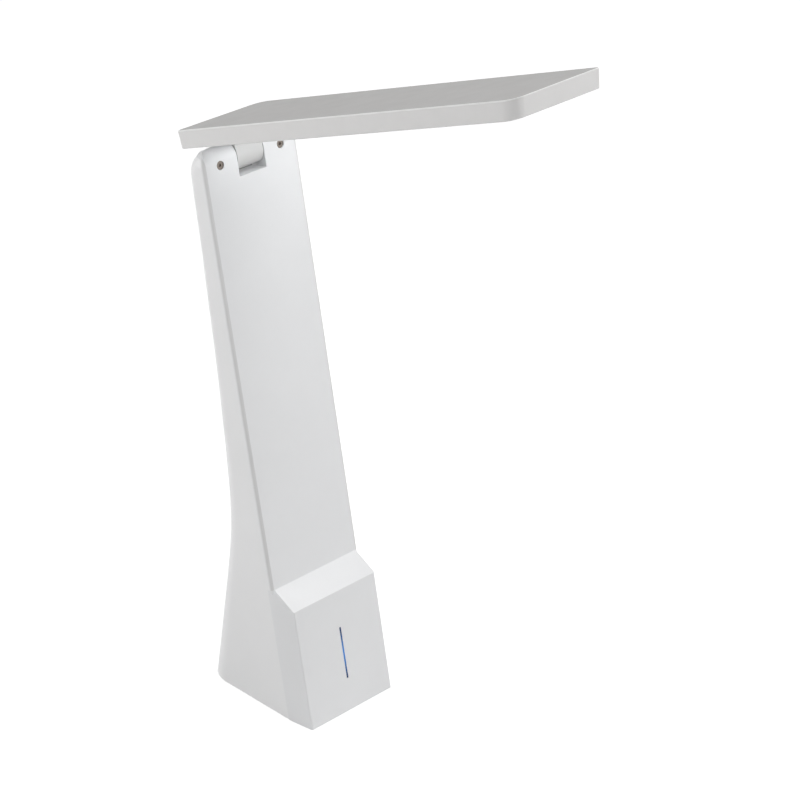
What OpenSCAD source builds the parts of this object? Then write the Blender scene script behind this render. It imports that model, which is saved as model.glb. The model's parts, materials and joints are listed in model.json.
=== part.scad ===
// Folding desk lamp: a leaning stand and a flat head that swings on a hinge at its top.
// X runs across the lamp, -Y is the front and Z is up from the desk. The origin is on the
// desk, at the middle of the stand's footprint.

/* [Stand] */
// Length of the flat front plate, from the desk to the centre of its rounded cap
plate_length = 266.5; // [255:0.5:285]
// Lean of the front plate from upright, in degrees
lean = 10.7; // [10:0.1:11.4]
// Width across the rear shell
stand_width = 54.2; // [54:0.2:60]
// Width of the shell's edge that shows beside the front plate
edge_strip = 1.6; // [1.4:0.1:1.8]
// Depth of the stand on the desk
base_depth = 73.4; // [72:0.2:80]
// Radius of the cap along the top of the stand
cap_radius = 6; // [6:0.1:6.6]
// Thickness of the front plate
plate_thickness = 2; // [1.9:0.05:2.2]
// Wall of the rear shell
shell_wall = 1.8; // [1.5:0.05:1.85]

/* [Back profile] */
// Lean of the upper back from upright, in degrees
back_lean = 7.8; // [7.4:0.1:8.2]
// Radius of the slow curve down the upper back
back_sweep = 2320; // [2200:10:2400]
// Slope of the lower back towards the desk, in degrees
heel_lean = 11.3; // [11:0.1:11.6]
// Half the width of the blend where the two slopes of the back meet
waist_blend = 2.1; // [1.5:0.1:3]
// Corner radius of the back in plan, at the desk
heel_corner = 15; // [12:0.5:17]
// Corner radius of the back in plan, at the cap
cap_corner = 4.7; // [4:0.1:5.5]

/* [Control box] */
// How far the box stands proud of the front plate
box_proud = 11.3; // [11:0.1:13]
// Length up the plate to where the box's sloped top meets it
box_height = 66.8; // [64:0.2:72]
// Length up the plate to the front edge of the box's sloped top
box_front_height = 57.9; // [56:0.1:60]
// Wall of the box
box_wall = 2; // [1.8:0.1:2.2]
// Length of the indicator line on the front of the box
line_length = 26; // [20:1:30]
// Length up the box to the middle of the indicator line
line_place = 27.2; // [25:0.2:29]
// Width of the indicator line
line_width = 1; // [0.8:0.1:1.4]

/* [Hinge] */
// Distance of the hinge axis behind the front of the plate
axis_depth = 6.6; // [6.5:0.05:6.8]
// Distance of the hinge axis below the centre of the cap, along the plate
axis_drop = 0.5; // [0.3:0.1:0.8]
// Radius of the knuckle that turns in the slot
knuckle_radius = 6.6; // [6.2:0.1:6.6]
// Width of the slot in the top of the stand
slot_width = 15.6; // [15:0.1:17]
// Gap on each side between the knuckle and the slot
knuckle_gap = 0.35; // [0.3:0.05:0.5]
// Gap between the knuckle and the floor of the slot
floor_gap = 1.9; // [1.5:0.1:2.5]
// Diameter of the hinge shafts
shaft_diameter = 3; // [2.8:0.1:3.2]
// Radial running clearance of the knuckle on its shafts
running_fit = 0.05; // [0.02:0.01:0.08]
// Angle of the head's front end above level, in degrees
head_tilt = 19.4; // [0:0.2:40]

/* [Head] */
// Length of the head along its top
head_length = 209.7; // [195:0.5:210]
// Width of the head
head_width = 49.2; // [48:0.2:54]
// Thickness of the head
head_thickness = 8.4; // [8.2:0.1:9]
// Radius of the head's two rounded corners in plan, left of its front and right of its back
head_corner = 6.5; // [4:0.5:8]
// Radius of the head's two tight corners in plan, right of its front and left of its back
head_tight_corner = 1.6; // [0.8:0.1:3]
// Gap between the folded head and the front plate
fold_gap = 1.6; // [1.5:0.1:2.5]
// Length of the head behind the hinge axis
head_overhang = 8.6; // [8.4:0.1:9]
// How much shorter the underside is than the top at the front end
front_slant = 2.4; // [1.5:0.1:4]
// Wall of the head's cover
head_wall = 1.6; // [1.4:0.1:1.8]
// Rows of lamps across the head
lamp_rows = 2; // [1:1:3]
// Lamps along each row
lamps_per_row = 20; // [10:1:24]

/* [Hidden] */

// One overrun serves every cut.
over = 1;
// Small overlap where two solids of one piece meet.
overlap = 0.25;
// Play around a piece that drops into a recess.
recess_play = 0.1;

// Stand
foot_proud = 0.4;
stand_half = stand_width / 2;
plate_half = stand_half - edge_strip;
front_edge_radius = 1.7;
front_corner = 5.5;
rear_top_corner = 11.8;
plate_foot_y = box_proud / cos(lean) - base_depth / 2;
cap_y = plate_foot_y + plate_length * sin(lean) + cap_radius * cos(lean);
cap_z = plate_length * cos(lean) - cap_radius * sin(lean);
back_start_y = cap_y + cap_radius * cos(back_lean);
back_start_z = cap_z - cap_radius * sin(back_lean);
stand_top_z = cap_z + cap_radius;
top_trim = 0.02;
shell_stations = 22;
cap_stations = 12;
corner_steps = 7;

// Box on the front of the stand
seam_depth = 2.7;
box_taper = 1.6;
box_edge_radius = 1;
box_slope_half = 25.4;
box_chamfer_angle = 31.5;
box_slope_angle = atan2(box_height - box_front_height, box_proud);
chamfer_run = (stand_half - box_slope_half) / tan(box_chamfer_angle) / cos(box_slope_angle);
box_front_half = stand_half - box_taper;
box_inner_front = box_wall - box_proud;

// Floor of the stand
base_thickness = 2.4;
base_top = foot_proud + base_thickness;
base_play = 0.3;
base_wall = box_wall + base_play;
pad_thickness = 1.2;
pad_width = 30;
pad_length = 58;
pad_corner = 4;
boss_radius = 2.6;
boss_height = 10;
base_screw_side = 5.4;
base_screw_front = 12.2;
base_screw_back = 12.7;
web_thickness = 1.6;

// Screws
screw_radius = 1;
screw_head_radius = 1.9;
screw_head_height = 1;
screw_play = 0.1;
base_screw_length = 7;
drive_radius = 0.8;
drive_depth = 0.6;

// Ballast
ballast_width = 36;
ballast_height = 14;
ballast_front = 15.7;
ballast_gap = 1.7;
ballast_screw_spread = 20;
ballast_screw_length = 7;

// Wires
wire_radius = 0.7;
wire_sides = 12;

// Battery
cell_radius = 9.2;
cell_length = 65;
cell_tip_radius = 3;
cell_tip_height = 0.8;
holder_floor = 1.2;
holder_wall = 1.1;
holder_end = 1.5;
holder_start = 54;
holder_side_height = 8;
holder_end_height = 13;
cell_axis_depth = plate_thickness + holder_floor + cell_radius + recess_play;
holder_length = cell_length + cell_tip_height + 2 * holder_end + 2 * recess_play;

// Control board
board_thickness = 1.6;
board_width = 38;
board_start = 6;
board_headroom = 5.9;
board_end = box_front_height - board_headroom;
board_gap = 1.7;
board_front = box_inner_front + board_gap;
board_back = board_front + board_thickness;
board_screw_inset = 3;
board_boss_radius = 2.2;
lamp_size = 1.6;
lamp_height = 0.8;
indicator_count = 3;
indicator_spacing = 9;
touch_radius = 3;
touch_gap = 0.6;
chip_size = 7;
chip_height = 1.2;
coil_radius = 3;
coil_height = 3;
plug_width = 6;
plug_depth = 4;
plug_height = 3.4;
plug_inset = 6;
plug_place = board_end - plug_inset;
wire_side = cell_radius + holder_wall + 4 * wire_radius;

// Charging socket
socket_width = 9;
socket_height = 3.2;
socket_length = 7.6;
socket_wall = 0.35;
socket_setback = 0.6;
socket_play = 0.15;
tongue_width = 6.6;
tongue_thickness = 0.7;
tongue_length = 5.2;
charge_board_z = 7;
charge_board_thickness = 1.2;
charge_board_width = 19;
charge_board_length = 16;
charge_board_reach = 3.4;
post_radius = 2.2;
post_spread = 12;
post_inset = 3;
socket_mid_z = charge_board_z + charge_board_thickness + socket_height / 2;
socket_mouth_y = base_depth / 2 - socket_mid_z * tan(heel_lean) - socket_setback;
charge_board_back = socket_mouth_y - charge_board_reach;
ballast_low_y = ballast_front - base_depth / 2;
ballast_high_y = charge_board_back - charge_board_length - ballast_gap;
ballast_mid_y = (ballast_low_y + ballast_high_y) / 2;

// Hinge
axis_along = plate_length - axis_drop;
axis_y = plate_foot_y + axis_along * sin(lean) + axis_depth * cos(lean);
axis_z = axis_along * cos(lean) - axis_depth * sin(lean);
slot_half = slot_width / 2;
slot_floor = axis_along - knuckle_radius - floor_gap;
slot_wall = 1.6;
slot_wall_back = 9.7;
ear_start = slot_half + slot_wall;
inner_cap_radius = cap_radius - plate_thickness;
cap_play = 0.1;
lip_play = 0.025;
shaft_radius = shaft_diameter / 2;
wall_hole_play = 0.3;
bracket_ring_radius = 3.05;
bracket_ring_width = 2.5;
bracket_thickness = 3.2;
bracket_width = 12.2;
bracket_length = 16;
bracket_end = ear_start + bracket_ring_width;
hinge_screw_side = 17.45;
hinge_screw_drop = 1.2;
hinge_screw_along = plate_length - hinge_screw_drop;
counterbore_radius = 2.05;
counterbore_depth = 1.5;
hinge_screw_length = 3.6;
washer_radius = 2.8;
washer_thickness = 0.4;
washer_count = 2;
washer_gap = 0.04;
washer_pitch = washer_thickness + washer_gap;
nut_radius = 2.8;
nut_length = 1.8;
thread_end = 0.3;
pocket_half = 3.4;
pocket_radius = 3;
clip_radius = 2.55;
clip_thickness = 0.6;
clip_gap = 0.1;
shaft_inner_end = 2.3;
hollow_bore_radius = 0.9;
flange_thickness = 0.8;
knuckle_half = slot_half - knuckle_gap;

// Head
head_half = head_width / 2;
head_bottom = knuckle_radius + fold_gap;
head_top = head_bottom + head_thickness;
head_front = head_length - head_overhang;
inset_thickness = 2.3;
inset_top = head_bottom + inset_thickness;
ledge = 1;
rear_plate_length = 20;
rear_plate_front = rear_plate_length - head_overhang + head_wall;
diffuser_recess = 0.3;
diffuser_gap = 0.1;
neck_back = 5;
knuckle_flange_half = 15;
knuckle_flange_thickness = 1.9;
knuckle_flange_front = 9.5;
knuckle_flange_top = inset_top + knuckle_flange_thickness;
knuckle_screw_side = 11.8;
knuckle_screw_front = 6.4;
knuckle_screw_back = 3.2;
knuckle_boss_radius = 2;
knuckle_screw_length = 4.6;
head_roof = 1.6;
inner_corner = 0.4;
head_ceiling = head_top - head_roof;
lamp_board_thickness = 1;
lamp_board_width = 40;
lamp_board_start = 16;
lamp_board_margin = 8;
chip_width = 2.8;
chip_length = 3.5;
chip_thickness = 0.7;
chip_margin = 8;
row_margin = 9;
wire_channel_radius = 1.3;

// Place of the front face of the shell, set in by an inset.
function front_y(z, inset) =
    let (r = cap_radius - inset)
    z < cap_z + r * sin(lean)
        ? plate_foot_y + inset / cos(lean) + z * tan(lean)
        : cap_y - sqrt(max(0, r * r - pow(z - cap_z, 2)));

// Place of the back of the shell: a slow upper curve and a lower slope, blended at the waist.
function upper_back(z) =
    let (d = back_start_z - z)
    back_start_y - d * tan(back_lean) + d * d / (2 * back_sweep);
function lower_back(z) = base_depth / 2 - z * tan(heel_lean);
function back_y(z, inset) =
    let (r = cap_radius - inset, u = upper_back(z), l = lower_back(z))
    z > back_start_z + inset * sin(back_lean)
        ? cap_y + sqrt(max(0, r * r - pow(z - cap_z, 2)))
        : (u + l) / 2 + sqrt(pow((u - l) / 2, 2) + waist_blend * waist_blend) - inset / cos(back_lean);

// Half width of the shell, drawn in round a corner radius near the top.
function half_width(z, inset, corner) =
    let (c = corner - inset, t = z - (stand_top_z - corner))
    stand_half - inset - (t > 0 ? c - sqrt(max(0, c * c - t * t)) : 0);

// Plan corner radius of the back, which tightens towards the cap.
function back_corner(z, inset) =
    heel_corner + (cap_corner - heel_corner) * min(1, max(0, z / cap_z)) - inset;

function arc(cx, cy, r, from) =
    [
        for (i = [0 : corner_steps])
            let (a = from + 90 * i / corner_steps)
            [cx + r * cos(a), cy + r * sin(a)]
    ];

// One level outline of the shell.
function ring(z, inset) =
    let (
        front = front_y(z, inset),
        back = back_y(z, inset),
        depth = back - front,
        rf = min(front_edge_radius - min(inset, front_edge_radius / 2), depth / 2),
        rb = min(back_corner(z, inset), depth - rf),
        wf = half_width(z, inset, front_corner),
        wb = half_width(z, inset, rear_top_corner)
    )
    concat(
        arc(wb - rb, back - rb, rb, 0),
        arc(rb - wb, back - rb, rb, 90),
        arc(rf - wf, front + rf, rf, 180),
        arc(wf - rf, front + rf, rf, 270)
    );

// Heights of the outlines: even up the stand, then closing in on the cap.
function stations(bottom, inset) =
    let (top = stand_top_z - inset - top_trim, start = top - rear_top_corner)
    concat(
        [for (i = [0 : shell_stations - 1]) bottom + (start - bottom) * i / shell_stations],
        [for (i = [0 : cap_stations]) start + (top - start) * sin(90 * i / cap_stations)]
    );

// Closed solid through the level outlines.
module shell_loft(bottom, inset) {
    levels = stations(bottom, inset);
    n = 4 * (corner_steps + 1);
    points = [for (z = levels) for (p = ring(z, inset)) [p.x, p.y, z]];
    sides = [
        for (k = [0 : len(levels) - 2]) for (i = [0 : n - 1])
            let (j = (i + 1) % n)
            each [
                [k * n + i, (k + 1) * n + i, (k + 1) * n + j],
                [k * n + i, (k + 1) * n + j, k * n + j]
            ]
    ];
    floor_face = [for (i = [0 : n - 1]) i];
    top_face = [for (i = [n - 1 : -1 : 0]) (len(levels) - 1) * n + i];
    polyhedron(points, concat(sides, [floor_face, top_face]), convexity = 6);
}

// Places its children in the frame of the leaning plate: X across, Y behind the plate's
// front face and Z along the plate from the desk.
module on_plate() {
    translate([0, plate_foot_y, 0]) rotate([-lean, 0, 0]) children();
}

// Places its children in the frame of the head, with its origin on the hinge axis.
module on_head() {
    translate([0, axis_y, axis_z]) rotate([-head_tilt, 0, 0]) children();
}

// Box from one corner to the opposite one.
module span(from, to) {
    translate(from) cube(to - from);
}

// Cylinder along X.
module rod_x(from, to, r) {
    translate([from, 0, 0]) rotate([0, 90, 0]) cylinder(h = to - from, r = r, $fn = 64);
}

// Cylinder along Y.
module rod_y(from, to, r) {
    translate([0, to, 0]) rotate([90, 0, 0]) cylinder(h = to - from, r = r, $fn = 48);
}

// Upright prism with rounded corners, between two heights.
module rounded_block(half, front, back, r, low, high) {
    span([-half + r, front, low], [half - r, back, high]);
    span([-half, front + r, low], [half, back - r, high]);
    for (x = [r - half, half - r], y = [front + r, back - r]) {
        translate([x, y, low]) cylinder(h = high - low, r = r, $fn = 64);
    }
}

// Screw with its head at the origin and its shank along Z.
module screw(length) {
    difference() {
        cylinder(h = screw_head_height, r = screw_head_radius, $fn = 48);
        translate([0, 0, -over]) cylinder(h = over + drive_depth, r = drive_radius, $fn = 6);
    }
    translate([0, 0, screw_head_height - overlap]) {
        cylinder(h = length + overlap, r = screw_radius, $fn = 32);
    }
}

// Hole with a counterbore for a screw whose head is at the origin, through a wall.
module screw_hole(wall) {
    translate([0, 0, -over]) {
        cylinder(h = over + screw_head_height, r = screw_head_radius + screw_play, $fn = 48);
        cylinder(h = over + wall + over, r = screw_radius + screw_play, $fn = 32);
    }
}

// Round wire through a list of points that all lie in a plane square to one direction.
module wire(points, square_to) {
    n = len(points);
    last = n - 1;
    rings = [
        for (i = [0 : last])
            let (
                before = points[max(i, 1)] - points[max(i, 1) - 1],
                after = points[min(i, last - 1) + 1] - points[min(i, last - 1)],
                along = before / norm(before) + after / norm(after),
                across = cross(square_to, along) / norm(cross(square_to, along))
            )
            for (k = [0 : wire_sides - 1])
                let (a = 360 * k / wire_sides)
                points[i] + wire_radius * (cos(a) * across + sin(a) * square_to)
    ];
    sides = [
        for (i = [0 : last - 1]) for (k = [0 : wire_sides - 1])
            let (j = (k + 1) % wire_sides)
            each [
                [i * wire_sides + k, (i + 1) * wire_sides + k, (i + 1) * wire_sides + j],
                [i * wire_sides + k, (i + 1) * wire_sides + j, i * wire_sides + j]
            ]
    ];
    ends = [
        [for (k = [0 : wire_sides - 1]) k],
        [for (k = [wire_sides - 1 : -1 : 0]) last * wire_sides + k]
    ];
    polyhedron(rings, concat(sides, ends), convexity = 6);
}

// Everything above the level that the stand's walls end at.
module above_foot() {
    reach = plate_length + stand_width;
    translate([-reach, -reach, foot_proud]) cube([2 * reach, 2 * reach, 2 * reach]);
}

// Outline of the front plate seen from the front, with its two rounded top corners.
module plate_outline(low, high, grow) {
    top = plate_length + cap_radius;
    r = front_corner - edge_strip;
    w = plate_half + grow;
    span([-w, low, box_height - overlap], [w, high, top - r]);
    span([r - plate_half, low, top - r - over], [plate_half - r, high, top + over]);
    for (x = [r - plate_half, plate_half - r]) {
        translate([x, 0, top - r]) rod_y(low, high, r + grow);
    }
}

// Front plate with its lip over the front half of the cap.
module plate_skin(grow) {
    top = plate_length + cap_radius;
    intersection() {
        plate_outline(-over, cap_radius, grow);
        union() {
            span([-stand_half, 0, box_height - overlap], [stand_half, plate_thickness, plate_length]);
            difference() {
                translate([0, cap_radius, plate_length]) rod_x(-stand_half, stand_half, cap_radius + grow);
                translate([0, cap_radius, plate_length]) rod_x(-stand_width, stand_width, inner_cap_radius);
                span([-stand_width, -over, plate_length - top], [stand_width, top, plate_length]);
            }
        }
    }
}

// Rounded front corner of the box in plan, where its tapered side meets its front.
function box_corner(side) =
    let (
        taper = atan2(box_taper, box_proud),
        r = box_edge_radius,
        cx = box_front_half - r * (1 - sin(taper)) / cos(taper),
        points = [
            for (i = [0 : corner_steps])
                let (a = taper + (90 - taper) * i / corner_steps)
                [side * (cx + r * cos(a)), r - box_proud - r * sin(a)]
        ],
        last = len(points) - 1
    )
    side < 0 ? points : [for (i = [last : -1 : 0]) points[i]];

// Length of the shell's rounded front edge that the box carries on past its chamfer.
module edge_root() {
    r = front_edge_radius;
    low = box_height - chamfer_run - over;
    intersection() {
        span([stand_half - 2 * r, 0, low], [stand_half, seam_depth, box_height]);
        union() {
            translate([stand_half - r, r, low]) cylinder(h = box_height - low, r = r, $fn = 48);
            span([stand_half - r, r, low], [stand_half, seam_depth, box_height]);
            span([stand_half - 2 * r, 0, low], [stand_half - r, seam_depth, box_height]);
        }
    }
}

// Solid form of the box on the front, from its front face back to the seam.
module box_form() {
    edge_root();
    mirror([1, 0, 0]) edge_root();
    difference() {
        intersection() {
            rotate([90, 0, 90]) translate([0, 0, -stand_half]) linear_extrude(stand_width) {
                polygon([
                    [seam_depth, -box_proud],
                    [-box_proud, -box_proud],
                    [-box_proud, box_front_height],
                    [0, box_height],
                    [seam_depth, box_height]
                ]);
            }
            translate([0, 0, -box_proud]) linear_extrude(box_height + box_proud) {
                polygon(concat(
                    [[-stand_half, seam_depth], [-stand_half, 0]],
                    box_corner(-1),
                    box_corner(1),
                    [[stand_half, 0], [stand_half, seam_depth]]
                ));
            }
        }
        for (side = [-1, 1]) {
            translate([side * box_slope_half, -box_proud, box_front_height]) {
                rotate([box_slope_angle, 0, 0]) rotate([0, -side * box_chamfer_angle, 0]) {
                    mirror([side < 0 ? 1 : 0, 0, 0]) {
                        span(
                            [0, -box_proud, -box_height / 4],
                            [stand_half, box_height / 3, box_height / 4]
                        );
                    }
                }
            }
        }
    }
}

// Hollow of the box, open to the desk and to the rear shell.
module box_hollow() {
    slope_drop = box_wall / cos(box_slope_angle);
    slope_share = (box_height - box_front_height) / box_proud;
    intersection() {
        rotate([90, 0, 90]) translate([0, 0, -stand_half]) linear_extrude(stand_width) {
            polygon([
                [seam_depth + over, -box_height],
                [box_inner_front, -box_height],
                [box_inner_front, box_front_height + box_wall * slope_share - slope_drop],
                [0, box_height - slope_drop],
                [seam_depth + over, box_height - slope_drop]
            ]);
        }
        translate([0, 0, -box_height]) linear_extrude(2 * box_height) {
            polygon([
                [-stand_half + box_wall, seam_depth + over],
                [-stand_half + box_wall, 0],
                [-box_front_half + box_wall, -box_proud],
                [box_front_half - box_wall, -box_proud],
                [stand_half - box_wall, 0],
                [stand_half - box_wall, seam_depth + over]
            ]);
        }
    }
}

// Walls of the hinge slot behind the plate.
module slot_walls() {
    low = slot_floor - slot_wall;
    for (side = [-1, 1]) {
        mirror([side < 0 ? 1 : 0, 0, 0]) difference() {
            union() {
                span([slot_half, plate_thickness, low], [ear_start, slot_wall_back, plate_length]);
                translate([0, cap_radius, plate_length]) {
                    rod_x(slot_half, ear_start, inner_cap_radius - cap_play);
                }
            }
            translate([0, axis_depth, axis_along]) {
                rod_x(slot_half - over, ear_start + over, shaft_radius + wall_hole_play);
            }
        }
    }
    span([-ear_start, plate_thickness, low], [ear_start, slot_wall_back, slot_floor]);
}

// Hollow post for a screw, with a web to the wall beside it.
module base_boss(x, y) {
    difference() {
        union() {
            translate([x, y, base_top]) cylinder(h = boss_height, r = boss_radius, $fn = 48);
            span(
                [min(x, sign(x) * (stand_half - shell_wall)), y - web_thickness / 2, base_top],
                [max(x, sign(x) * (stand_half - shell_wall)), y + web_thickness / 2, base_top + boss_height]
            );
        }
        translate([x, y, base_top - over]) cylinder(h = boss_height, r = screw_radius, $fn = 32);
    }
}

function base_screw_places() =
    let (x = stand_half - base_screw_side - boss_radius / 2)
    [
        [-x, base_screw_front - base_depth / 2],
        [x, base_screw_front - base_depth / 2],
        [-x, base_depth / 2 - base_screw_back],
        [x, base_depth / 2 - base_screw_back]
    ];

function board_screw_places() =
    let (x = board_width / 2 - board_screw_inset, low = board_start + board_screw_inset)
    [for (s = [-1, 1]) for (z = [low, board_end - board_screw_inset]) [s * x, z]];

// Front casing: flat plate with its lip over the cap, and the box near the desk.
module front_cover() {
    color([0.9, 0.9, 0.9]) {
        intersection() {
            above_foot();
            on_plate() difference() {
                union() {
                    plate_skin(0);
                    difference() {
                        box_form();
                        box_hollow();
                        span(
                            [box_wall - stand_half, plate_thickness, -box_height],
                            [stand_half - box_wall, seam_depth + over, box_height + over]
                        );
                    }
                    slot_walls();
                    for (p = board_screw_places()) {
                        translate([p[0], 0, p[1]]) {
                            rod_y(box_inner_front - overlap, board_front, board_boss_radius);
                        }
                    }
                }
                span(
                    [-slot_half, -over, slot_floor],
                    [slot_half, 2 * cap_radius + over, plate_length + 2 * cap_radius]
                );
                for (s = [-1, 1]) {
                    translate([s * hinge_screw_side, 0, hinge_screw_along]) {
                        rod_y(-over, counterbore_depth, counterbore_radius);
                        rod_y(-over, plate_thickness + over, screw_radius + screw_play);
                    }
                }
                span(
                    [-line_width / 2, -box_proud - over, line_place - line_length / 2],
                    [line_width / 2, box_inner_front + over, line_place + line_length / 2]
                );
                for (p = board_screw_places()) {
                    translate([p[0], 0, p[1]]) rod_y(box_inner_front, board_front + over, screw_radius);
                }
            }
        }
        for (i = [0, 1]) {
            base_boss(base_screw_places()[i][0], base_screw_places()[i][1]);
        }
    }
}

// Rear casing: sides, back and the rear half of the cap, as one moulded shell.
module rear_shell() {
    socket_x = socket_width / 2 + socket_play;
    socket_low = charge_board_z + charge_board_thickness - socket_play;
    color([0.85, 0.85, 0.85]) {
        difference() {
            shell_loft(foot_proud, 0);
            shell_loft(-over, shell_wall);
            on_plate() {
                span([-stand_width, -box_height, -box_height], [stand_width, seam_depth, box_height]);
                plate_skin(lip_play);
                span([-plate_half, -over, box_height], [plate_half, plate_thickness, plate_length]);
                span(
                    [-slot_half, -over, slot_floor],
                    [slot_half, 4 * cap_radius, plate_length + 2 * cap_radius]
                );
            }
            span(
                [-socket_x, base_depth / 4, socket_low],
                [socket_x, base_depth, socket_low + socket_height + 2 * socket_play]
            );
        }
        for (i = [2, 3]) {
            base_boss(base_screw_places()[i][0], base_screw_places()[i][1]);
        }
    }
}

function ballast_screw_places() =
    [for (s = [-1, 1]) [s * ballast_screw_spread / 2, ballast_mid_y]];

// Outline of the stand's floor, inside the walls.
module floor_outline(low, high) {
    front = base_wall / cos(lean) + high * tan(lean) - base_depth / 2;
    back = base_depth / 2 - base_wall / cos(heel_lean) - high * tan(heel_lean);
    side = stand_half - base_wall;
    r = heel_corner - base_wall;
    nose = side + box_taper * box_inner_front / box_proud;
    span([-side, plate_foot_y, low], [side, back - r, high]);
    span([r - side, plate_foot_y, low], [side - r, back, high]);
    for (x = [r - side, side - r]) {
        translate([x, back - r, low]) cylinder(h = high - low, r = r, $fn = 64);
    }
    translate([0, 0, low]) linear_extrude(high - low) {
        polygon([[-side, plate_foot_y], [-nose, front], [nose, front], [side, plate_foot_y]]);
    }
}

module base_plate() {
    color([0.8, 0.8, 0.8]) {
        difference() {
            floor_outline(foot_proud, base_top);
            rounded_block(
                pad_width / 2 + recess_play, -pad_length / 2 - recess_play,
                pad_length / 2 + recess_play, pad_corner, -over, pad_thickness
            );
            for (p = base_screw_places()) {
                translate([p[0], p[1], foot_proud]) screw_hole(base_thickness);
            }
            for (p = ballast_screw_places()) {
                translate([p[0], p[1], pad_thickness]) screw_hole(base_thickness);
            }
        }
        for (p = charge_post_places()) {
            difference() {
                translate([p[0], p[1], base_top - overlap]) {
                    cylinder(h = charge_board_z - base_top + overlap, r = post_radius, $fn = 48);
                }
                translate([p[0], p[1], base_top]) cylinder(h = charge_board_z, r = screw_radius, $fn = 32);
            }
        }
    }
}

module foot_pad() {
    color([0.16, 0.16, 0.17]) {
        rounded_block(pad_width / 2, -pad_length / 2, pad_length / 2, pad_corner, 0, pad_thickness);
    }
}

module base_screws() {
    color([0.45, 0.45, 0.47]) {
        for (p = base_screw_places()) {
            translate([p[0], p[1], foot_proud]) screw(base_screw_length);
        }
    }
}

module ballast_weight() {
    color([0.4, 0.4, 0.42]) {
        difference() {
            span(
                [-ballast_width / 2, ballast_low_y, base_top],
                [ballast_width / 2, ballast_high_y, base_top + ballast_height]
            );
            for (p = ballast_screw_places()) {
                translate([p[0], p[1], base_top - over]) {
                    cylinder(h = over + ballast_screw_length + over, r = screw_radius, $fn = 32);
                }
            }
        }
    }
}

module ballast_screws() {
    color([0.45, 0.45, 0.47]) {
        for (p = ballast_screw_places()) {
            translate([p[0], p[1], pad_thickness]) screw(ballast_screw_length);
        }
    }
}

module battery_cell() {
    color([0.2, 0.45, 0.7]) {
        on_plate() translate([0, cell_axis_depth, holder_start + holder_end + recess_play]) {
            cylinder(h = cell_length, r = cell_radius, $fn = 96);
            translate([0, 0, cell_length - overlap]) {
                cylinder(h = cell_tip_height + overlap, r = cell_tip_radius, $fn = 48);
            }
        }
    }
}

module battery_holder() {
    half = cell_radius + recess_play + holder_wall;
    color([0.12, 0.12, 0.13]) {
        on_plate() difference() {
            span(
                [-half, plate_thickness, holder_start],
                [half, plate_thickness + holder_end_height, holder_start + holder_length]
            );
            span(
                [holder_wall - half, plate_thickness + holder_floor, holder_start + holder_end],
                [half - holder_wall, 2 * cell_axis_depth, holder_start + holder_length - holder_end]
            );
            span(
                [-half - over, plate_thickness + holder_side_height, holder_start + holder_end],
                [half + over, 2 * cell_axis_depth, holder_start + holder_length - holder_end]
            );
        }
    }
}

module battery_wires() {
    exit = plate_thickness + holder_floor + wire_radius;
    entry = board_back + plug_height / 2;
    color([0.7, 0.1, 0.1]) {
        on_plate() for (s = [-1, 1]) {
            x = s * plug_width / 4;
            wire([
                [x, exit, holder_start],
                [x, exit, holder_start - 3 * wire_radius],
                [x, entry, plug_place + 3 * wire_radius],
                [x, entry, plug_place]
            ], [1, 0, 0]);
        }
    }
}

module main_board() {
    color([0.1, 0.4, 0.2]) {
        on_plate() difference() {
            span([-board_width / 2, board_front, board_start], [board_width / 2, board_back, board_end]);
            for (p = board_screw_places()) {
                translate([p[0], 0, p[1]]) {
                    rod_y(board_front - over, board_back + over, screw_radius + screw_play);
                }
            }
        }
    }
}

module main_board_parts() {
    middle = (board_start + board_end) / 2;
    color([0.15, 0.15, 0.16]) {
        on_plate() {
            span(
                [-chip_size / 2, board_back, middle - chip_size / 2],
                [chip_size / 2, board_back + chip_height, middle + chip_size / 2]
            );
            translate([board_width / 4, 0, middle]) {
                rod_y(board_back, board_back + coil_height, coil_radius);
            }
            for (x = [0, wire_side]) {
                span(
                    [x - plug_width / 2, board_back, plug_place - plug_depth],
                    [x + plug_width / 2, board_back + plug_height, plug_place]
                );
            }
            span(
                [-board_width / 4 - plug_width, board_back, board_start + 2 * plug_depth],
                [-board_width / 4, board_back + plug_height, board_start + 3 * plug_depth]
            );
        }
    }
}

module main_board_screws() {
    color([0.6, 0.6, 0.62]) {
        on_plate() for (p = board_screw_places()) {
            translate([p[0], board_back + screw_head_height, p[1]]) rotate([90, 0, 0]) {
                screw(board_thickness + board_gap - screw_play);
            }
        }
    }
}

module touch_pad() {
    color([0.25, 0.25, 0.26]) {
        on_plate() translate([0, 0, line_place - line_length / 2 - touch_gap - touch_radius]) {
            rod_y(box_inner_front, board_front, touch_radius);
        }
    }
}

module indicator_light_guide() {
    color([0.35, 0.5, 0.85]) {
        on_plate() span(
            [-line_width / 2, -box_proud, line_place - line_length / 2],
            [line_width / 2, board_front - lamp_height, line_place + line_length / 2]
        );
    }
}

module indicator_lamps() {
    color([0.2, 0.35, 0.9]) {
        on_plate() for (i = [0 : indicator_count - 1]) {
            z = line_place + (i - (indicator_count - 1) / 2) * indicator_spacing;
            span(
                [-lamp_size / 2, board_front - lamp_height, z - lamp_size / 2],
                [lamp_size / 2, board_front, z + lamp_size / 2]
            );
        }
    }
}

function charge_post_places() =
    [for (s = [-1, 1]) [s * post_spread / 2, charge_board_back - charge_board_length + post_inset]];

module charging_board() {
    color([0.1, 0.4, 0.2]) {
        difference() {
            span(
                [-charge_board_width / 2, charge_board_back - charge_board_length, charge_board_z],
                [charge_board_width / 2, charge_board_back, charge_board_z + charge_board_thickness]
            );
            for (p = charge_post_places()) {
                translate([p[0], p[1], charge_board_z - over]) {
                    cylinder(h = 2 * over + charge_board_thickness, r = screw_radius + screw_play, $fn = 32);
                }
            }
        }
    }
}

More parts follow.
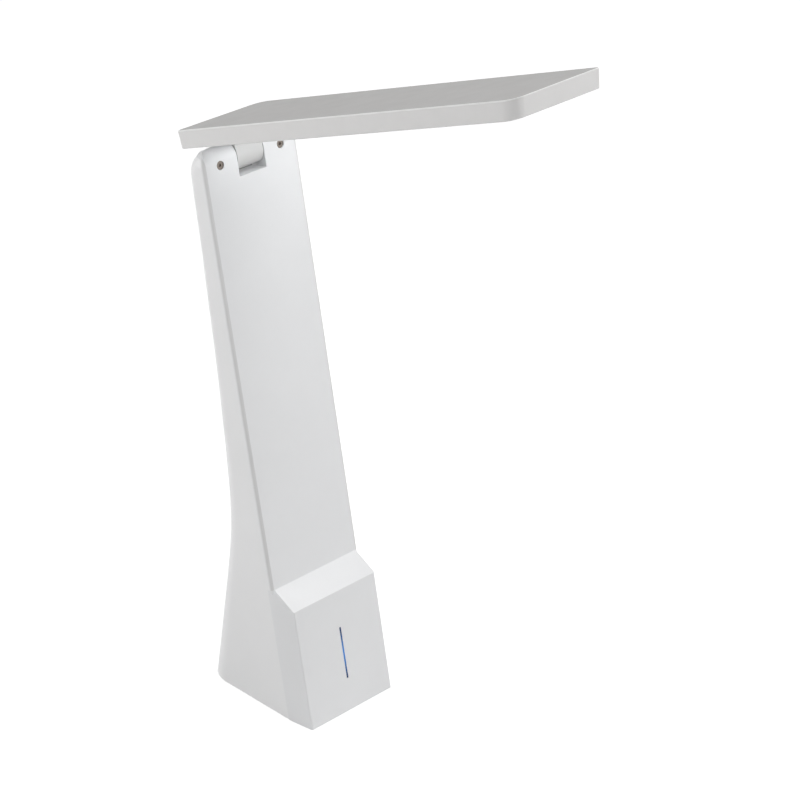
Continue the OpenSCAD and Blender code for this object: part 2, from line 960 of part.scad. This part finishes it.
module charging_board_screws() {
    color([0.6, 0.6, 0.62]) {
        for (p = charge_post_places()) {
            translate([p[0], p[1], charge_board_z + charge_board_thickness + screw_head_height]) {
                rotate([180, 0, 0]) screw(charge_board_thickness + post_radius);
            }
        }
    }
}

// Flat-sided round tube along Y that the plug of a charger slides into.
module socket_form(inset, from, to) {
    r = socket_height / 2 - inset;
    x = socket_width / 2 - socket_height / 2;
    translate([0, 0, socket_mid_z]) {
        span([-x, from, -r], [x, to, r]);
        for (s = [-1, 1]) {
            translate([s * x, 0, 0]) rod_y(from, to, r);
        }
    }
}

module charging_socket() {
    back = socket_mouth_y - socket_length;
    color([0.75, 0.75, 0.77]) {
        difference() {
            socket_form(0, back, socket_mouth_y);
            socket_form(socket_wall, back + socket_height / 3, socket_mouth_y + over);
        }
    }
}

module socket_tongue() {
    back = socket_mouth_y - socket_length + socket_height / 3;
    color([0.1, 0.1, 0.11]) {
        span(
            [-tongue_width / 2, back, socket_mid_z - tongue_thickness / 2],
            [tongue_width / 2, back + tongue_length, socket_mid_z + tongue_thickness / 2]
        );
    }
}

// Metal bracket behind one ear of the cap, bored for the shaft and tapped for its screw.
module hinge_bracket(side) {
    color([0.62, 0.62, 0.64]) {
        on_plate() mirror([side < 0 ? 1 : 0, 0, 0]) difference() {
            union() {
                span(
                    [ear_start, plate_thickness, axis_along - bracket_length],
                    [ear_start + bracket_width, plate_thickness + bracket_thickness, axis_along]
                );
                translate([0, axis_depth, axis_along]) rod_x(ear_start, bracket_end, bracket_ring_radius);
            }
            translate([0, axis_depth, axis_along]) {
                rod_x(ear_start - over, bracket_end + over, shaft_radius);
                rod_x(bracket_end, ear_start + bracket_width + over, nut_radius + recess_play);
            }
            translate([hinge_screw_side, 0, hinge_screw_along]) {
                rod_y(plate_thickness - over, plate_thickness + bracket_thickness + over, screw_radius);
            }
        }
    }
}

module left_hinge_bracket() {
    hinge_bracket(-1);
}

module right_hinge_bracket() {
    hinge_bracket(1);
}

module hinge_screws() {
    color([0.3, 0.27, 0.26]) {
        on_plate() for (s = [-1, 1]) {
            translate([s * hinge_screw_side, counterbore_depth - screw_head_height, hinge_screw_along]) {
                rotate([-90, 0, 0]) screw(hinge_screw_length);
            }
        }
    }
}

module friction_shaft() {
    end = bracket_end + washer_count * washer_pitch + nut_length + thread_end;
    color([0.7, 0.7, 0.72]) {
        on_plate() translate([0, axis_depth, axis_along]) rod_x(-end, -shaft_inner_end, shaft_radius);
    }
}

module friction_washers() {
    color([0.55, 0.55, 0.57]) {
        on_plate() translate([0, axis_depth, axis_along]) for (i = [0 : washer_count - 1]) {
            start = bracket_end + i * washer_pitch;
            difference() {
                rod_x(-start - washer_thickness, -start, washer_radius);
                rod_x(-start - washer_pitch, -start + over, shaft_radius);
            }
        }
    }
}

module friction_nut() {
    start = bracket_end + washer_count * washer_pitch;
    color([0.6, 0.6, 0.62]) {
        on_plate() translate([0, axis_depth, axis_along]) difference() {
            translate([-start, 0, 0]) rotate([0, -90, 0]) cylinder(h = nut_length, r = nut_radius, $fn = 6);
            rod_x(-start - nut_length - over, -start + over, shaft_radius);
        }
    }
}

module hollow_shaft() {
    color([0.7, 0.7, 0.72]) {
        on_plate() translate([0, axis_depth, axis_along]) difference() {
            union() {
                rod_x(shaft_inner_end, bracket_end + flange_thickness, shaft_radius);
                rod_x(bracket_end, bracket_end + flange_thickness, washer_radius);
            }
            rod_x(shaft_inner_end - over, bracket_end + flange_thickness + over, hollow_bore_radius);
        }
    }
}

module shaft_clips() {
    outer = pocket_half - clip_gap;
    color([0.2, 0.2, 0.22]) {
        on_plate() translate([0, axis_depth, axis_along]) for (s = [0, 1]) {
            mirror([s, 0, 0]) difference() {
                rod_x(outer - clip_thickness, outer, clip_radius);
                rod_x(outer - clip_thickness - over, outer + over, shaft_radius);
            }
        }
    }
}

module column_wires() {
    turn = bracket_end + flange_thickness + 2 * wire_radius;
    entry = board_back + plug_height / 2;
    knee = holder_start + holder_length / 2;
    color([0.85, 0.85, 0.8]) {
        on_plate() {
            wire([
                [2 * wire_radius, axis_depth, axis_along],
                [turn, axis_depth, axis_along],
                [turn + wire_radius, axis_depth, axis_along - 2 * wire_radius],
                [wire_side, axis_depth, axis_along - bracket_length],
                [wire_side, axis_depth, knee - wire_radius]
            ], [0, 1, 0]);
            translate([wire_side, 0, 0]) wire([
                [0, axis_depth, knee],
                [0, axis_depth, board_end + 2 * plug_depth],
                [0, entry, board_end],
                [0, entry, plug_place]
            ], [1, 0, 0]);
        }
    }
}

// Outline of the head at one height, set in by an inset: its front end slants.
function head_ring(inset, z) =
    let (
        wide = max(head_corner - inset, inner_corner),
        tight = max(head_tight_corner - inset, inner_corner),
        w = head_half - inset,
        front = inset - head_front + front_slant * (head_top - z) / head_thickness,
        back = head_overhang - inset
    )
    concat(
        arc(w - wide, back - wide, wide, 0),
        arc(tight - w, back - tight, tight, 90),
        arc(wide - w, front + wide, wide, 180),
        arc(w - tight, front + tight, tight, 270)
    );

// Outer form of the head, set in by an inset, between two heights.
module head_form(inset, low, high) {
    n = 4 * (corner_steps + 1);
    points = [for (z = [low, high]) for (p = head_ring(inset, z)) [p.x, p.y, z]];
    sides = [for (i = [0 : n - 1]) let (j = (i + 1) % n) each [[i, n + i, n + j], [i, n + j, j]]];
    ends = [[for (i = [0 : n - 1]) i], [for (i = [n - 1 : -1 : 0]) n + i]];
    polyhedron(points, concat(sides, ends), convexity = 4);
}

// Everything in front of a place along the head.
module ahead_of(y) {
    span([-head_width, -2 * head_length, 0], [head_width, -y, 2 * head_top]);
}

module head_cover() {
    color([0.82, 0.81, 0.81]) {
        on_head() difference() {
            head_form(0, head_bottom, head_top);
            head_form(head_wall, head_bottom - over, inset_top);
            difference() {
                head_form(head_wall + ledge, inset_top - over, head_ceiling);
                for (p = knuckle_screw_places()) {
                    translate([p[0], p[1], knuckle_flange_top]) {
                        cylinder(h = head_top - knuckle_flange_top, r = knuckle_boss_radius, $fn = 48);
                    }
                }
            }
            for (p = knuckle_screw_places()) {
                translate([p[0], p[1], head_bottom]) {
                    cylinder(h = head_ceiling - head_bottom, r = screw_radius, $fn = 32);
                }
            }
        }
    }
}

module head_rear_plate() {
    color([0.84, 0.84, 0.84]) {
        on_head() difference() {
            head_form(head_wall + recess_play, head_bottom, inset_top);
            ahead_of(rear_plate_front);
            span(
                [-knuckle_half - recess_play, -knuckle_radius - recess_play, 0],
                [knuckle_half + recess_play, neck_back + recess_play, head_top]
            );
            for (p = knuckle_screw_places()) {
                translate([p[0], p[1], head_bottom]) screw_hole(inset_thickness);
            }
        }
    }
}

module diffuser() {
    color([0.97, 0.97, 0.95]) {
        on_head() intersection() {
            head_form(head_wall + recess_play, head_bottom + diffuser_recess, inset_top);
            ahead_of(rear_plate_front + diffuser_gap);
        }
    }
}

module lamp_board() {
    color([0.93, 0.93, 0.92]) {
        on_head() span(
            [-lamp_board_width / 2, lamp_board_margin - head_front, head_ceiling - lamp_board_thickness],
            [lamp_board_width / 2, -lamp_board_start, head_ceiling]
        );
    }
}

module lamp_chips() {
    low = head_ceiling - lamp_board_thickness - chip_thickness;
    first = lamp_board_start + chip_margin;
    run = head_front - lamp_board_margin - chip_margin - first;
    color([0.95, 0.85, 0.45]) {
        on_head() for (row = [0 : lamp_rows - 1], i = [0 : lamps_per_row - 1]) {
            x = (lamp_board_width - 2 * row_margin) * (row - (lamp_rows - 1) / 2) / max(1, lamp_rows - 1);
            y = -first - run * i / (lamps_per_row - 1);
            span(
                [x - chip_width / 2, y - chip_length / 2, low],
                [x + chip_width / 2, y + chip_length / 2, low + chip_thickness]
            );
        }
    }
}

function knuckle_screw_places() =
    [for (s = [-1, 1]) for (y = [-knuckle_screw_front, knuckle_screw_back]) [s * knuckle_screw_side, y]];

// Block under the head that turns in the slot, with a flange held inside the head.
module knuckle() {
    color([0.83, 0.83, 0.83]) {
        on_head() difference() {
            union() {
                rod_x(-knuckle_half, knuckle_half, knuckle_radius);
                span([-knuckle_half, -knuckle_radius, 0], [knuckle_half, neck_back, inset_top + overlap]);
                span(
                    [-knuckle_flange_half, -knuckle_flange_front, inset_top],
                    [knuckle_flange_half, neck_back, knuckle_flange_top]
                );
            }
            rod_x(-knuckle_half - over, knuckle_half + over, shaft_radius + running_fit);
            rod_x(-pocket_half, pocket_half, pocket_radius);
            cylinder(h = head_top, r = wire_channel_radius, $fn = 32);
            for (p = knuckle_screw_places()) {
                translate([p[0], p[1], inset_top - over]) {
                    cylinder(
                        h = 2 * over + knuckle_flange_thickness, r = screw_radius + screw_play, $fn = 32
                    );
                }
            }
        }
    }
}

module knuckle_screws() {
    color([0.45, 0.45, 0.47]) {
        on_head() for (p = knuckle_screw_places()) {
            translate([p[0], p[1], head_bottom]) screw(knuckle_screw_length);
        }
    }
}

module head_wires() {
    level = head_ceiling - lamp_board_thickness - wire_radius;
    color([0.85, 0.85, 0.8]) {
        on_head() wire([
            [0, 0, 0],
            [0, 0, level - 2 * wire_radius],
            [0, -2 * wire_radius, level],
            [0, -lamp_board_start - chip_length, level]
        ], [1, 0, 0]);
    }
}

front_cover();
rear_shell();
base_plate();
foot_pad();
base_screws();
ballast_weight();
ballast_screws();
battery_cell();
battery_holder();
battery_wires();
main_board();
main_board_parts();
main_board_screws();
touch_pad();
indicator_light_guide();
indicator_lamps();
charging_board();
charging_board_screws();
charging_socket();
socket_tongue();
left_hinge_bracket();
right_hinge_bracket();
hinge_screws();
friction_shaft();
friction_washers();
friction_nut();
hollow_shaft();
shaft_clips();
column_wires();
head_cover();
head_rear_plate();
diffuser();
lamp_board();
lamp_chips();
knuckle();
knuckle_screws();
head_wires();
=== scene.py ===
"""Folding desk lamp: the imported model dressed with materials, light and a camera."""

import json
import math

import bpy
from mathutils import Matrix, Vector


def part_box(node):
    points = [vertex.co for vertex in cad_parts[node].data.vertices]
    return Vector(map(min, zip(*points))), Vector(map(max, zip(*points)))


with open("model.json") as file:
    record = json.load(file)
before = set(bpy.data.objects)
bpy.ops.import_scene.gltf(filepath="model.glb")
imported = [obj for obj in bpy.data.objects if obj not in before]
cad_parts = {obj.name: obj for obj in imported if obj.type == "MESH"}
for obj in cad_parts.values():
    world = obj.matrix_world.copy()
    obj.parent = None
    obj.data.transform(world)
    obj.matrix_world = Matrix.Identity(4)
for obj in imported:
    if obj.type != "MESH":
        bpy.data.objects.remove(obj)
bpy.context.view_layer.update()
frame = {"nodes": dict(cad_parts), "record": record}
nodes = frame["nodes"]
record = frame["record"]
slot_of = {part["node"]: part["material_slot"] for part in record["subparts"]}

MM = 0.001

# The camera: its place round the lamp in degrees and metres, and its long lens in millimetres.
CAMERA_AZIMUTH = -44.686
CAMERA_ELEVATION = 27.887
CAMERA_DISTANCE = 1.1586
CAMERA_TARGET = Vector((0.64, -68.83, 172.62)) * MM
CAMERA_LENS = 121.67
CAMERA_SENSOR = 36
CAMERA_SHIFT = (-0.00254, 0.00509)
CAMERA_CLIP = (0.01, 50)

# Angles of the CAD: the plate leans back, and the head's top rises towards its free end.
PLATE_LEAN = math.radians(10.7)
HEAD_TILT = math.radians(19.4)
PLATE_NORMAL = (0, -math.cos(PLATE_LEAN), math.sin(PLATE_LEAN))
HEAD_NORMAL = (0, math.sin(HEAD_TILT), math.cos(HEAD_TILT))

# Places that the lamps aim at, in metres.
MIDDLE = (0, -0.03, 0.15)
PLATE_TOP = (0, -0.02, 0.25)

# Strengths of the diffuser's own light and of the world's.
DIFFUSER_GLOW = 1.0
WORLD_LIGHT = 0.0

# The desk: half its side in metres, what it sends back and what it shows of its own.
DESK_HALF = 6.0
DESK_BOUNCE = (0.78, 0.78, 0.78, 1)
DESK_GLOW = 0.93
WHITE = (1, 1, 1, 1)

# Noise of the mouldings: its scale for clouding and for gloss.
CLOUD_SCALE = 22.0
GLOSS_SCALE = 60.0

# Grain of the lamp's satin mouldings.
SATIN = {"grain": 1500.0, "grain_depth": 0.006}

PLASTICS = {
    "cover": {"color": (0.805, 0.809, 0.817), "roughness": 0.42, **SATIN},
    "shell": {
        "color": (0.855, 0.855, 0.858),
        "roughness": 0.40,
        # Painted shade: a darker colour for the shell's faces that look the plate's way, which
        # get little light.
        "front_shade_color": (0.7, 0.7, 0.7),
        **SATIN,
    },
    "knuckle_plastic": {"color": (0.62, 0.617, 0.61), "roughness": 0.4},
    "cell_wrap": {"color": (0.06, 0.2, 0.45), "roughness": 0.25, "mottle": 0.05},
    "black_plastic": {"color": (0.03, 0.03, 0.032), "roughness": 0.5, "mottle": 0.1},
    "red_wire": {"color": (0.5, 0.02, 0.02), "roughness": 0.35, "mottle": 0.05},
    "white_wire": {"color": (0.75, 0.75, 0.7), "roughness": 0.35},
    "touch_foam": {
        "color": (0.06, 0.06, 0.065),
        "roughness": 0.9,
        "grain": 1800.0,
        "grain_depth": 0.1,
        "mottle": 0.2,
    },
    "blue_lamp": {"color": (0.1, 0.2, 0.8), "roughness": 0.2},
    "diffuser_sheet": {
        "color": (0.9, 0.9, 0.88),
        "roughness": 0.38,
        "grain": 2500.0,
        "grain_depth": 0.006,
        "mottle": 0.008,
        "extra": {
            "Subsurface Weight": 0.25,
            "Subsurface Scale": 0.002,
            "Emission Color": (0.93, 0.97, 1.0, 1),
            "Emission Strength": DIFFUSER_GLOW,
        },
    },
    "lamp_board": {"color": (0.85, 0.85, 0.85), "roughness": 0.35},
    "lamp_chip": {"color": (0.8, 0.62, 0.16), "roughness": 0.3, "mottle": 0.05},
}

METALS = {
    "steel": {"color": (0.5, 0.5, 0.52), "roughness": 0.35},
    "socket_metal": {"color": (0.75, 0.75, 0.77), "roughness": 0.2, "streak": (300, 30, 300)},
    "bracket_steel": {"color": (0.55, 0.55, 0.57), "roughness": 0.35},
    "shaft_steel": {"color": (0.65, 0.65, 0.67), "roughness": 0.22, "streak": (600, 40, 40)},
    "dark_screw": {"color": (0.19, 0.165, 0.145), "roughness": 0.34, "streak": (500, 500, 500)},
}


def unit(azimuth, elevation):
    """Direction from the lamp towards a place round it."""
    a, e = math.radians(azimuth), math.radians(elevation)
    return Vector((math.sin(a) * math.cos(e), -math.cos(a) * math.cos(e), math.sin(e)))


def aim(obj, place, target):
    """Puts a camera or lamp at a place, looking at a target."""
    obj.rotation_mode = "QUATERNION"
    obj.location = place
    obj.rotation_quaternion = (target - place).to_track_quat("-Z", "Y")


def add_camera():
    data = bpy.data.cameras.new("camera")
    camera = bpy.data.objects.new("camera", data)
    bpy.context.scene.collection.objects.link(camera)
    data.lens = CAMERA_LENS
    data.sensor_width = CAMERA_SENSOR
    data.shift_x, data.shift_y = CAMERA_SHIFT
    data.clip_start, data.clip_end = CAMERA_CLIP
    place = CAMERA_TARGET + unit(CAMERA_AZIMUTH, CAMERA_ELEVATION) * CAMERA_DISTANCE
    aim(camera, place, CAMERA_TARGET)
    bpy.context.scene.camera = camera


class Tree:
    """Small helper round a node tree that ends in one surface."""

    def __init__(self, tree, output):
        self.tree = tree
        self.tree.nodes.clear()
        self.output = self.add(output)

    def fill(self, socket, value):
        """Links an input to a socket, or gives it a value."""
        if isinstance(value, bpy.types.NodeSocket):
            self.tree.links.new(value, socket)
        else:
            socket.default_value = value

    def add(self, kind, inputs=None, **settings):
        node = self.tree.nodes.new(kind)
        for key, value in settings.items():
            setattr(node, key, value)
        for key, value in (inputs or {}).items():
            self.fill(node.inputs[key], value)
        return node

    def shown(self):
        """1 for rays that show a surface: from the camera, or by way of gloss or glass."""
        path = self.add("ShaderNodeLightPath").outputs
        shown = path["Is Camera Ray"]
        for ray in ("Is Glossy Ray", "Is Transmission Ray"):
            either = self.add("ShaderNodeMath", {0: shown, 1: path[ray]}, operation="MAXIMUM")
            shown = either.outputs[0]
        return shown

    def mix_shaders(self, mask, first, second):
        """The first shader where the mask is 0 and the second where it is 1."""
        inputs = {0: mask, 1: first.outputs[0], 2: second.outputs[0]}
        return self.add("ShaderNodeMixShader", inputs)

    def finish(self, shader):
        self.tree.links.new(shader.outputs[0], self.output.inputs["Surface"])


class Material(Tree):
    """Material whose noise and masks lie in the object's own space."""

    def __init__(self, name):
        self.material = bpy.data.materials.new(name)
        self.material.use_nodes = True
        super().__init__(self.material.node_tree, "ShaderNodeOutputMaterial")

    def coordinates(self, kind="Object"):
        return self.add("ShaderNodeTexCoord").outputs[kind]

    def noise(self, scale, detail=4.0, roughness=0.5, vector=None):
        inputs = {
            "Vector": vector or self.coordinates(),
            "Scale": scale,
            "Detail": detail,
            "Roughness": roughness,
        }
        return self.add("ShaderNodeTexNoise", inputs).outputs["Fac"]

    def ramp(self, fac, low, high):
        """Colour that goes from low to high over a noise's middle values."""
        node = self.add("ShaderNodeValToRGB", {"Fac": fac})
        for element, position, color in zip(node.color_ramp.elements, (0.3, 0.7), (low, high)):
            element.position = position
            element.color = (*color, 1)
        return node.outputs["Color"]

    def mottled(self, fac, color, darker, lighter):
        """Colour that varies round its own value by the noise."""
        return self.ramp(fac, shade(color, 1 - darker), shade(color, 1 + lighter))

    def map_to(self, value, low, high):
        """Value from 0 to 1 brought to the range from low to high."""
        inputs = {"Value": value, "To Min": low, "To Max": high}
        return self.add("ShaderNodeMapRange", inputs).outputs["Result"]

    def map_from(self, value, start, end):
        """Value between start and end brought to the range from 0 to 1."""
        inputs = {"Value": value, "From Min": start, "From Max": end}
        return self.add("ShaderNodeMapRange", inputs).outputs["Result"]

    def uneven_gloss(self, roughness):
        return self.map_to(self.noise(GLOSS_SCALE, 3.0), roughness - 0.04, roughness + 0.05)

    def facing(self, direction, start, end):
        """Mask that grows from 0 to 1 while the cosine to a direction goes from start to end."""
        inputs = {0: self.coordinates("Normal"), 1: direction}
        dot = self.add("ShaderNodeVectorMath", inputs, operation="DOT_PRODUCT")
        return self.map_from(dot.outputs["Value"], start, end)

    def mix(self, mask, first, second):
        """The first colour where the mask is 0 and the second where it is 1."""
        node = self.add("ShaderNodeMix", data_type="RGBA")
        sockets = [socket for socket in node.inputs if socket.enabled]
        for socket, value in zip(sockets, (mask, first, second)):
            self.fill(socket, value)
        return next(socket for socket in node.outputs if socket.enabled)

    def bump(self, height, strength, depth):
        """Normal of a relief whose depth is in millimetres."""
        inputs = {"Height": height, "Strength": strength, "Distance": depth * MM}
        return self.add("ShaderNodeBump", inputs).outputs["Normal"]

    def surface(self, color, roughness, extra):
        """Ends the material in one principled surface."""
        inputs = {"Base Color": color, "Roughness": roughness, **extra}
        self.finish(self.add("ShaderNodeBsdfPrincipled", inputs))
        return self.material


def shade(color, factor):
    return tuple(min(1.0, c * factor) for c in color)


def plastic(
    name,
    color,
    roughness,
    grain=900.0,
    grain_depth=0.01,
    mottle=0.015,
    front_shade_color=None,
    extra=None,
):
    """Moulded plastic: faint clouding, a fine moulded grain and slightly uneven gloss.

    A darker front colour paints shade on the faces that look the plate's way, such as the
    shell's round edge.
    """
    m = Material(name)
    tint = m.mottled(m.noise(CLOUD_SCALE, 5.0, 0.6), color, mottle, mottle)
    if front_shade_color is not None:
        # Painted shade on the faces that look the plate's way.
        tint = m.mix(m.facing(PLATE_NORMAL, 0.2, 0.65), tint, (*front_shade_color, 1))
    relief = m.bump(m.noise(grain, 2.0, 0.6), 0.25, grain_depth)
    return m.surface(tint, m.uneven_gloss(roughness), {"Normal": relief, **(extra or {})})


def head_plastic(side_color, rim_highlight_color, shaded_top_color):
    """Head's cover: smooth sides, a painted highlight on the rim and painted shade on the finely
    textured top face.
    """
    m = Material("head_shell")
    cloud = m.noise(90.0, 6.0, 0.7)
    side = m.mottled(cloud, side_color, 0.015, 0.015)
    # Painted shade: the top face is coloured far darker than the sides, for the light it misses.
    top = m.mottled(cloud, shaded_top_color, 0.04, 0.04)
    # Painted highlight: the rounded rim between the sides and the top is coloured lighter, as if
    # catching light.
    edge = m.mix(m.facing(HEAD_NORMAL, 0.1, 0.4), side, (*rim_highlight_color, 1))
    color = m.mix(m.facing(HEAD_NORMAL, 0.95, 0.99), edge, top)
    relief = m.bump(m.noise(1100.0, 2.0, 0.6), 0.25, 0.02)
    return m.surface(color, m.uneven_gloss(0.5), {"Normal": relief})


def metal(name, color, roughness, streak=(40, 40, 900)):
    """Turned or rolled metal with fine streaks."""
    m = Material(name)
    stretch = m.add("ShaderNodeMapping", {"Vector": m.coordinates(), "Scale": streak})
    lines = m.noise(3.0, vector=stretch.outputs["Vector"])
    tint = m.mottled(lines, color, 0.14, 0.08)
    gloss = m.map_to(lines, roughness - 0.08, roughness + 0.1)
    return m.surface(tint, gloss, {"Normal": m.bump(lines, 0.2, 0.01), "Metallic": 1.0})


def rubber():
    """Black foot with fine dots."""
    m = Material("foot_rubber")
    tint = m.ramp(m.noise(40.0, 5.0, 0.7), (0.018, 0.018, 0.018), (0.04, 0.04, 0.04))
    dots = m.add("ShaderNodeTexVoronoi", {"Vector": m.coordinates(), "Scale": 700.0})
    return m.surface(tint, 0.85, {"Normal": m.bump(dots.outputs["Distance"], 0.5, 0.05)})


def circuit_board():
    """Green lacquered board with faint tracks."""
    m = Material("circuit_board")
    tracks = m.add(
        "ShaderNodeTexBrick",
        {
            "Vector": m.coordinates(),
            "Color1": (0.02, 0.16, 0.06, 1),
            "Color2": (0.03, 0.2, 0.08, 1),
            "Mortar": (0.06, 0.32, 0.12, 1),
            "Scale": 90.0,
            "Mortar Size": 0.03,
        },
    )
    return m.surface(tracks.outputs["Color"], 0.3, {"Normal": m.bump(m.noise(200.0), 0.2, 0.01)})


def cast_metal():
    """Rough dark casting of the ballast."""
    m = Material("cast_steel")
    cloud = m.noise(160.0, 8.0, 0.7)
    tint = m.ramp(cloud, (0.12, 0.12, 0.13), (0.24, 0.24, 0.25))
    return m.surface(tint, 0.6, {"Normal": m.bump(cloud, 0.6, 0.1), "Metallic": 0.8})


def indicator(end_color, middle_color, glow):
    """Blue light guide, brightest at its middle and darker towards its ends."""
    lowest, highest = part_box("indicator_light_guide")
    m = Material("blue_light_guide")
    height = m.add("ShaderNodeSeparateXYZ", {"Vector": m.coordinates()}).outputs["Z"]
    band = m.add("ShaderNodeValToRGB", {"Fac": m.map_from(height, lowest[2], highest[2])})
    band.color_ramp.interpolation = "EASE"
    for element in band.color_ramp.elements:
        element.color = (*end_color, 1)
    band.color_ramp.elements.new(0.5).color = (*middle_color, 1)
    color = band.outputs["Color"]
    gloss = m.map_to(m.noise(300.0), 0.15, 0.25)
    return m.surface(color, gloss, {"Emission Color": color, "Emission Strength": glow})


def make_materials():
    """One material for each material slot of the record."""
    materials = {name: plastic(name, **look) for name, look in PLASTICS.items()}
    materials.update({name: metal(name, **look) for name, look in METALS.items()})
    materials.update(
        # Head cover colours: sides, painted highlight on the rim, painted shade on the top.
        head_shell=head_plastic((0.76, 0.753, 0.747), (0.9, 0.9, 0.89), (0.424, 0.418, 0.412)),
        foot_rubber=rubber(),
        cast_steel=cast_metal(),
        circuit_board=circuit_board(),
        blue_light_guide=indicator(
            end_color=(0.012, 0.028, 0.085), middle_color=(0.03, 0.15, 0.44), glow=0.45
        ),
    )
    return materials


def dress(materials):
    """Gives each node its slot's material."""
    for name, obj in nodes.items():
        material = materials[slot_of[name]]
        if not obj.material_slots:
            obj.data.materials.append(material)
        for place in obj.material_slots:
            place.material = material


def soften(name, width, angle=35, clamp=True):
    """Rounds a node's crisp edges, sharper than the angle, as a mould leaves them."""
    obj = nodes[name]
    weld = obj.modifiers.new("weld", "WELD")
    weld.merge_threshold = 0.002 * MM
    flats = obj.modifiers.new("whole_flats", "DECIMATE")
    flats.decimate_type = "DISSOLVE"
    flats.angle_limit = math.radians(0.5)
    bevel = obj.modifiers.new("soft_edges", "BEVEL")
    bevel.width = width * MM
    bevel.segments = 3
    bevel.limit_method = "ANGLE"
    bevel.angle_limit = math.radians(angle)
    bevel.use_clamp_overlap = clamp
    bevel.miter_outer = "MITER_ARC"
    normals = obj.modifiers.new("normals", "WEIGHTED_NORMAL")
    normals.keep_sharp = False
    normals.weight = 60


def add_floor():
    """Pale desk top: white to the camera, and still darkened by the lamp's shadow."""
    mesh = bpy.data.meshes.new("desk")
    corners = [(-1, -1), (1, -1), (1, 1), (-1, 1)]
    mesh.from_pydata([(x * DESK_HALF, y * DESK_HALF, 0) for x, y in corners], [], [(0, 1, 2, 3)])
    floor = bpy.data.objects.new("desk", mesh)
    bpy.context.scene.collection.objects.link(floor)
    m = Material("desk")
    pale = m.ramp(m.noise(3.0), (0.24, 0.24, 0.24), (0.26, 0.26, 0.26))
    dim = m.add("ShaderNodeBsdfDiffuse", {"Color": pale})
    glow = m.add("ShaderNodeEmission", {"Color": WHITE, "Strength": DESK_GLOW})
    seen = m.add("ShaderNodeAddShader", {0: dim.outputs[0], 1: glow.outputs[0]})
    bounce = m.add("ShaderNodeBsdfDiffuse", {"Color": DESK_BOUNCE})
    top = m.mix_shaders(m.shown(), bounce, seen)
    below = m.add("ShaderNodeNewGeometry").outputs["Backfacing"]
    m.finish(m.mix_shaders(below, top, m.add("ShaderNodeBsdfTransparent")))
    mesh.materials.append(m.material)


def add_world():
    """White where it is seen, and no light of its own for the rest."""
    world = bpy.data.worlds.new("world")
    bpy.context.scene.world = world
    world.use_nodes = True
    w = Tree(world.node_tree, "ShaderNodeOutputWorld")
    light = w.add("ShaderNodeBackground", {"Strength": WORLD_LIGHT})
    white = w.add("ShaderNodeBackground", {"Strength": 1.0, "Color": WHITE})
    w.finish(w.mix_shaders(w.shown(), light, white))


def add_lamp(name, azimuth, elevation, power, distance=1.3, size=0.9, target=MIDDLE):
    """Square studio lamp aimed at a place on the object, its middle unless given."""
    data = bpy.data.lights.new(name, "AREA")
    data.size = size
    data.energy = power
    lamp = bpy.data.objects.new(name, data)
    bpy.context.scene.collection.objects.link(lamp)
    target = Vector(target)
    aim(lamp, target + unit(azimuth, elevation) * distance, target)


add_camera()
dress(make_materials())
soften("front_cover", 0.2)
soften("knuckle", 0.3)
soften("head_rear_plate", 0.2)
soften("rear_shell", 0.15, angle=60)
soften("head_cover", 0.7, clamp=False)
add_floor()
add_world()
add_lamp("key_low", azimuth=60, elevation=8, power=3.7)
add_lamp("key_high", azimuth=70, elevation=60, power=9.9)
add_lamp("left", azimuth=-110, elevation=25, power=10.1)
add_lamp("front_low", azimuth=5, elevation=3, power=5.0, distance=1.2, size=0.6)
add_lamp(
    "near_front", azimuth=15, elevation=12, power=0.1, distance=0.55, size=0.35, target=PLATE_TOP
)
add_lamp("back_fill", azimuth=-165, elevation=5, power=2.5)

scene = bpy.context.scene
scene.view_settings.view_transform = "Standard"
